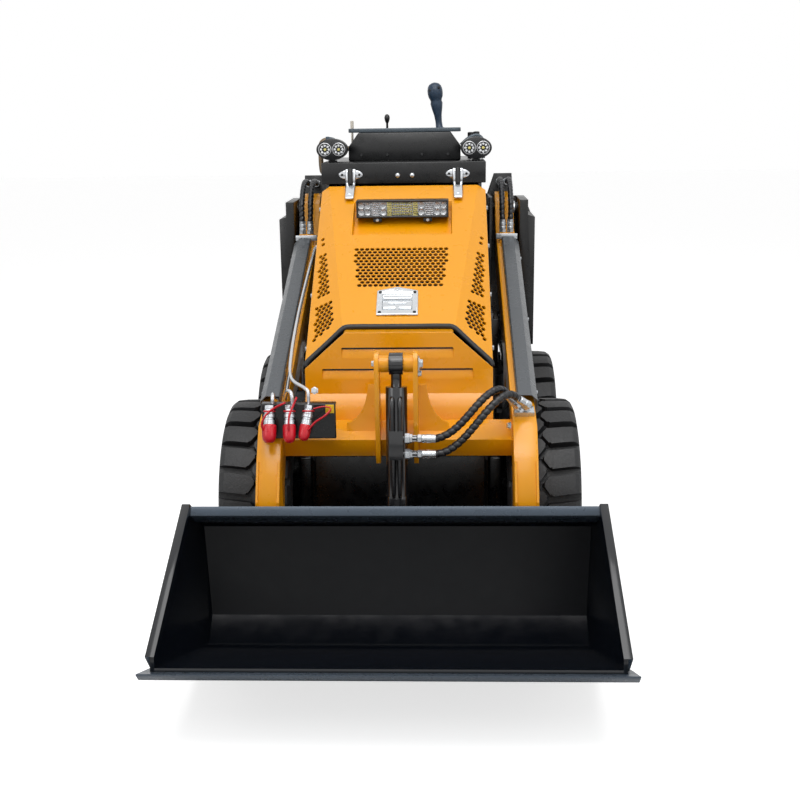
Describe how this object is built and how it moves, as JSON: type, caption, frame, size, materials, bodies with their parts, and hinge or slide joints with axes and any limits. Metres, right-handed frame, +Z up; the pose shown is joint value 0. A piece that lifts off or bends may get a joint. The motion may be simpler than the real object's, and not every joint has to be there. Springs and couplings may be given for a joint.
{
  "type": "skid steer loader",
  "caption": "Stand-on skid steer loader with tipping hood, lift arms, hydraulic cylinders, bucket and folding operator platform.",
  "frame": {"origin": "on the ground, at the middle of the machine's footprint box", "axes": "+Z up, -Y towards the bucket, +X to the machine's left as its operator faces forward"},
  "size_m": [1.126, 2.4102, 1.5463],
  "materials": {
    "yellow_paint": "gloss powder coat",
    "black_paint": "satin powder coat",
    "bucket_paint": "gloss paint over steel plate",
    "grey_cover": "satin grey paint",
    "rim_paint": "gloss paint",
    "engine": "cast",
    "chrome_rod": "hard chrome",
    "plating": "zinc plated",
    "lamp_housing": "die-cast, black",
    "tyre_rubber": "matt",
    "hose_rubber": "spiral wrapped",
    "control_plastic": "moulded grip",
    "pad_vinyl": "padded vinyl"
  },
  "bodies": {
    "chassis": {"chassis_side_left": "black_paint", "chassis_side_right": "black_paint", "belly_pan": "black_paint", "front_plate": "black_paint", "engine_block": "engine", "rear_cover": "black_paint", "front_panel": "yellow_paint", "cowl": "black_paint", "console": "black_paint", "grab_bar": "black_paint", "joystick": "control_plastic", "throttle_lever": "control_plastic", "work_light_left": "lamp_housing", "work_light_right": "lamp_housing", "grab_hoop": "black_paint", "tower_left": "black_paint", "tower_right": "black_paint", "thigh_pad": "pad_vinyl", "lift_hose_inner_left": "hose_rubber", "lift_hose_outer_left": "hose_rubber", "lift_hose_inner_right": "hose_rubber", "lift_hose_outer_right": "hose_rubber"},
    "wheel_front_left": {"tyre_front_left": "tyre_rubber", "rim_front_left": "rim_paint"},
    "wheel_front_right": {"tyre_front_right": "tyre_rubber", "rim_front_right": "rim_paint"},
    "wheel_rear_left": {"tyre_rear_left": "tyre_rubber", "rim_rear_left": "rim_paint"},
    "wheel_rear_right": {"tyre_rear_right": "tyre_rubber", "rim_rear_right": "rim_paint"},
    "hood": {"hood_shell": "yellow_paint", "light_bar": "lamp_housing", "hood_handle": "plating"},
    "platform": {"platform": "black_paint"},
    "arms": {"arm_left": "yellow_paint", "arm_right": "yellow_paint", "hose_cover_left": "grey_cover", "hose_cover_right": "grey_cover", "cross_tube": "yellow_paint", "coupler_bracket": "black_paint", "hose_block": "plating", "tilt_hose_upper": "hose_rubber", "tilt_hose_lower": "hose_rubber"},
    "lift_barrel_left": {"lift_barrel_left": "black_paint"},
    "lift_rod_left": {"lift_rod_left": "chrome_rod"},
    "lift_barrel_right": {"lift_barrel_right": "black_paint"},
    "lift_rod_right": {"lift_rod_right": "chrome_rod"},
    "tilt_barrel": {"tilt_barrel": "black_paint"},
    "tilt_rod": {"tilt_rod": "chrome_rod"},
    "bucket": {"attachment_plate": "black_paint", "bucket_shell": "bucket_paint", "cutting_edge": "bucket_paint"}
  },
  "joints": [
    {"name": "wheel_front_left_roll", "type": "hinge", "parent": "chassis", "child": "wheel_front_left", "pos_m": [0.422, -0.12893, 0.292], "axis": [1, 0, 0], "continuous": true},
    {"name": "wheel_front_right_roll", "type": "hinge", "parent": "chassis", "child": "wheel_front_right", "pos_m": [-0.422, -0.12893, 0.292], "axis": [1, 0, 0], "continuous": true},
    {"name": "wheel_rear_left_roll", "type": "hinge", "parent": "chassis", "child": "wheel_rear_left", "pos_m": [0.422, 0.58107, 0.292], "axis": [1, 0, 0], "continuous": true},
    {"name": "wheel_rear_right_roll", "type": "hinge", "parent": "chassis", "child": "wheel_rear_right", "pos_m": [-0.422, 0.58107, 0.292], "axis": [1, 0, 0], "continuous": true},
    {"name": "hood_tilt", "type": "hinge", "parent": "chassis", "child": "hood", "pos_m": [0, -0.24793, 0.733], "axis": [1, 0, 0], "range_deg": [0, 50]},
    {"name": "platform_fold", "type": "hinge", "parent": "chassis", "child": "platform", "pos_m": [0, 0.87507, 0.211], "axis": [1, 0, 0], "range_deg": [0, 85]},
    {"name": "arm_lift", "type": "hinge", "parent": "chassis", "child": "arms", "pos_m": [0, 0.80107, 1.09], "axis": [-1, 0, 0], "range_deg": [0, 70], "deforming": ["lift_hose_inner_left", "lift_hose_outer_left", "lift_hose_inner_right", "lift_hose_outer_right"]},
    {"name": "lift_swing_left", "type": "hinge", "parent": "chassis", "child": "lift_barrel_left", "pos_m": [0.3585, 0.82607, 0.665], "axis": [-1, 0, 0], "range_deg": [0, 57.2]},
    {"name": "lift_extend_left", "type": "slide", "parent": "lift_barrel_left", "child": "lift_rod_left", "axis": [0, -0.997, -0.0772], "range_m": [0, 0.438]},
    {"name": "lift_swing_right", "type": "hinge", "parent": "chassis", "child": "lift_barrel_right", "pos_m": [-0.3585, 0.82607, 0.665], "axis": [-1, 0, 0], "range_deg": [0, 57.2]},
    {"name": "lift_extend_right", "type": "slide", "parent": "lift_barrel_right", "child": "lift_rod_right", "axis": [0, -0.997, -0.0772], "range_m": [0, 0.438]},
    {"name": "bucket_tilt", "type": "hinge", "parent": "arms", "child": "bucket", "pos_m": [0, -0.46893, 0.088], "axis": [1, 0, 0], "range_deg": [0, 125]},
    {"name": "tilt_swing", "type": "hinge", "parent": "arms", "child": "tilt_barrel", "pos_m": [0, -0.44093, 0.772], "axis": [-1, 0, 0], "range_deg": [0, 1.5], "deforming": ["tilt_hose_upper", "tilt_hose_lower"]},
    {"name": "tilt_extend", "type": "slide", "parent": "tilt_barrel", "child": "tilt_rod", "axis": [0, -0.1142, -0.9935], "range_m": [0, 0.232]}
  ],
  "couplings": [
    {"joint": "lift_swing_left", "follows": "arm_lift", "ratio": 0.8145},
    {"joint": "lift_extend_left", "follows": "arm_lift", "m_per_rad": 0.35704},
    {"joint": "lift_swing_right", "follows": "arm_lift", "ratio": 0.8145},
    {"joint": "lift_extend_right", "follows": "arm_lift", "m_per_rad": 0.35704},
    {"joint": "tilt_swing", "follows": "bucket_tilt", "ratio": 0.010975},
    {"joint": "tilt_extend", "follows": "bucket_tilt", "m_per_rad": 0.10543}
  ]
}
